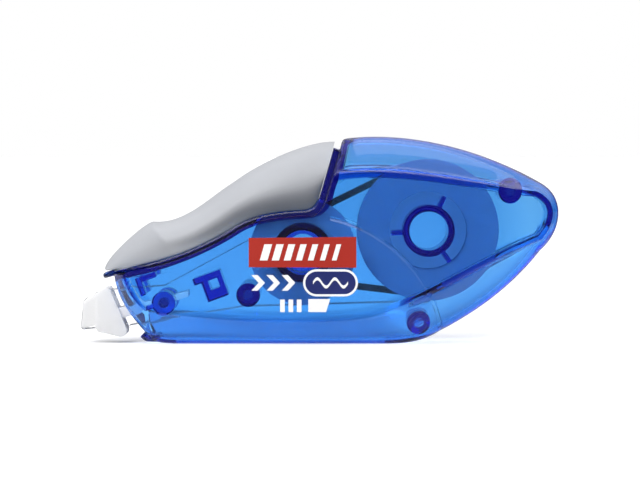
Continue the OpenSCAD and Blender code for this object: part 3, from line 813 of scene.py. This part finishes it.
def left_shell():
    """Near half, with hub, ring, sockets and ribs."""
    root = -SIDE_Y + ROOT
    obj = bare_half("left_shell_look", -1)
    obj = boolean(obj, deck_plate("deck", -1), "UNION")
    inner = join([tube("hub", SUPPLY, r=4.97, bore=3.72, y0=root, y1=2.3),
                  tube("ring", TAKE_UP, r=5.7, bore=4.27, y0=root, y1=0.5),
                  boss(PIVOT, root, -PIVOT_BOSS_Y), boss(POST, root, -POST_BOSS_Y),
                  boss(REAR_PIN, root, -PIN_BOSS_Y), boss(BASE_PIN, root, -PIN_BOSS_Y),
                  l_rib(root, -FRONT_RIB_Y), socket_rib(root, -SOCKET_RIB_Y),
                  crease_rib(*UPPER_CREASE, first=1.5, last=0.8, y0=root, y1=-4.5),
                  crease_rib(*LOWER_CREASE, first=1.2, last=0.7, y0=root, y1=-4.4)], "bosses")
    ribs = join([hub_rib(a, root, -HUB_RIB_Y) for a in (66, 183, -56)], "ribs")
    inner = boolean(inner, ribs, "UNION")
    inner = boolean(inner, prism("tail", PIVOT_TAIL, root, -FRONT_RIB_Y, 0.1), "UNION")
    obj = boolean(obj, keep_inside(inner, -1), "UNION")
    obj = boolean(obj, prism("lip", lip(), -LIP_Y, 0, 0.3), "UNION")
    cutters = [prism("socket", circle(c, PIN_R + RUN_GAP, 48), y, 1) for c, y in
               ((PIVOT, -6.4), (POST, -6.4), (REAR_PIN, -4.8), (BASE_PIN, -4.4))]
    obj = boolean(obj, join(cutters, "sockets"), "DIFFERENCE")
    return finish_half(obj, -1)


def right_shell():
    """Far half, with hub, ring and the pins that enter the near half's sockets."""
    root = SIDE_Y - ROOT
    obj = bare_half("right_shell_look", 1)
    obj = boolean(obj, deck_plate("deck", 1), "UNION")
    inner = join([tube("hub", SUPPLY, r=5.4, bore=4.26, y0=2.75, y1=root),
                  tube("ring", TAKE_UP, r=4.2, bore=3.2, y0=2.75, y1=root),
                  boss(PIVOT, PIVOT_BOSS_Y, root), boss(POST, -2.3, root),
                  boss(REAR_PIN, PIN_BOSS_Y, root), boss(BASE_PIN, PIN_BOSS_Y, root),
                  l_rib(FRONT_RIB_Y, root)], "bosses")
    pins = [prism("pin", circle(c, PIN_R, 48), y, root, 0.1) for c, y in
            ((PIVOT, -5.6), (POST, -4.6), (REAR_PIN, -4.6), (BASE_PIN, -4.2))]
    inner = boolean(inner, join(pins, "pins"), "UNION")
    obj = boolean(obj, keep_inside(inner, 1), "UNION")
    obj = boolean(obj, prism("lip", lip(), 0, LIP_Y, 0.3), "UNION")
    return finish_half(obj, 1)


for build, node in ((left_shell, "left_shell"), (right_shell, "right_shell")):
    shell = smooth(paint(build(), SHELL_BLUE), 32)
    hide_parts(node)
    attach(shell, "case")
    shell.visible_shadow = False


# ---------- grip ----------
# Half section of the grip as shares of its half width and height: at its front, and further back
# where the sides are hollow below a soft crease
FRONT_SECTION = [(0, 0), (0.5, 0), (0.93, 0), (0.985, 0.01), (1, 0.04), (1, 0.09), (0.995, 0.15),
                 (0.985, 0.22), (0.97, 0.29), (0.95, 0.36), (0.925, 0.43), (0.89, 0.51), (0.84, 0.59),
                 (0.77, 0.68), (0.68, 0.77), (0.57, 0.86), (0.43, 0.93), (0.26, 0.98), (0.1, 0.998), (0, 1)]
HOLLOW_SECTION = [(0, 0), (0.45, 0), (0.82, 0), (0.875, 0.008), (0.89, 0.035), (0.895, 0.08),
                  (0.91, 0.14), (0.935, 0.2), (0.965, 0.26), (0.988, 0.31), (0.998, 0.36),
                  (0.998, 0.42), (0.985, 0.49), (0.95, 0.58), (0.885, 0.68), (0.79, 0.78),
                  (0.66, 0.87), (0.48, 0.945), (0.2, 0.993), (0, 1)]


def at(points, t):
    """Point at share t of a line's points."""
    k = t * (len(points) - 1)
    i = min(int(k), len(points) - 2)
    return points[i] + (points[i + 1] - points[i]) * (k - i)


def hollow_shade(obj):
    """Stores how deep each point lies in the hollow below the side crease, growing towards the rear, as the
    mask of the grip's painted shade.
    """
    layer = obj.data.attributes.new("hollow", "FLOAT", "POINT")
    stations = np.linspace(0, 1, 400)
    base = np.array([at(GRIP_BASE, t) for t in stations])
    top = np.array([at(GRIP_TOP, t) for t in stations])
    for v in obj.data.vertices:
        p = np.array((v.co.x, v.co.z)) / MM
        run = top - base
        share = np.clip(((p - base) * run).sum(1) / (run**2).sum(1), 0, 1)
        gap = np.linalg.norm(base + run * share[:, None] - p, axis=1)
        k = int(gap.argmin())
        low = float(ease((0.46 - share[k]) / 0.4))
        layer.data[v.index].value = low * float(ease((stations[k] - 0.26) / 0.42))


def grip_skin(stations=72):
    """Grip swept from its front tip to its rear edge."""
    front, hollow = np.array(FRONT_SECTION), np.array(HOLLOW_SECTION)
    n, verts, faces = 2 * len(front) - 2, [], []
    for i in range(stations + 1):
        t = i / stations
        half = front + (hollow - front) * float(ease((t - 0.12) / 0.3))
        full = np.concatenate([half, half[-2:0:-1] * (-1, 1)])
        a, b = at(GRIP_BASE, t), at(GRIP_TOP, t)
        fill = min(1.0, 0.45 + 2.2 * t)
        for w, h in full:
            p = a + (b - a) * h
            verts.append((p[0], (SIDE_Y - 0.05) * fill * w, p[1]))
    for i in range(stations):
        faces += ring_faces(i * n, (i + 1) * n, n)
    faces += [range(n), range(stations * n, (stations + 1) * n)]
    obj = new_object("grip_skin_look", verts, faces)
    mod = obj.modifiers.new("round rims", "BEVEL")
    mod.width, mod.segments, mod.limit_method, mod.angle_limit = 0.35 * MM, 4, "ANGLE", math.radians(50)
    bake(obj)
    return obj


grip = smooth(paint(grip_skin(), GRIP_GREY), 60)
# Painted shade: this mask darkens the grip's sides in the hollow below the crease
hollow_shade(grip)
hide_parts("grip_skin")
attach(grip, "case")

# ---------- CAD nodes that stay ----------
KEPT = {"grip_insert": INSERT, "supply_core": SPOOL, "tape_roll": TAPE_IN_PAINTED_SHADE, "slip_ring": BELT_BLACK,
        "supply_pulley": SPOOL, "take_up_spool": SPOOL, "take_up_pulley": SPOOL, "liner_roll": LINER,
        "drive_belt": BELT_BLACK, "applicator_tip": TIP_WHITE, "tape_feed_run": RIBBON,
        "tape_tip_loop": RIBBON, "tape_return_run": RIBBON, "red_print": PRINT_RED,
        "white_print": PRINT_WHITE, "navy_print": PRINT_NAVY, "badge_print": PRINT_WHITE}
for node, mat in KEPT.items():
    paint(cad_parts[node], mat)
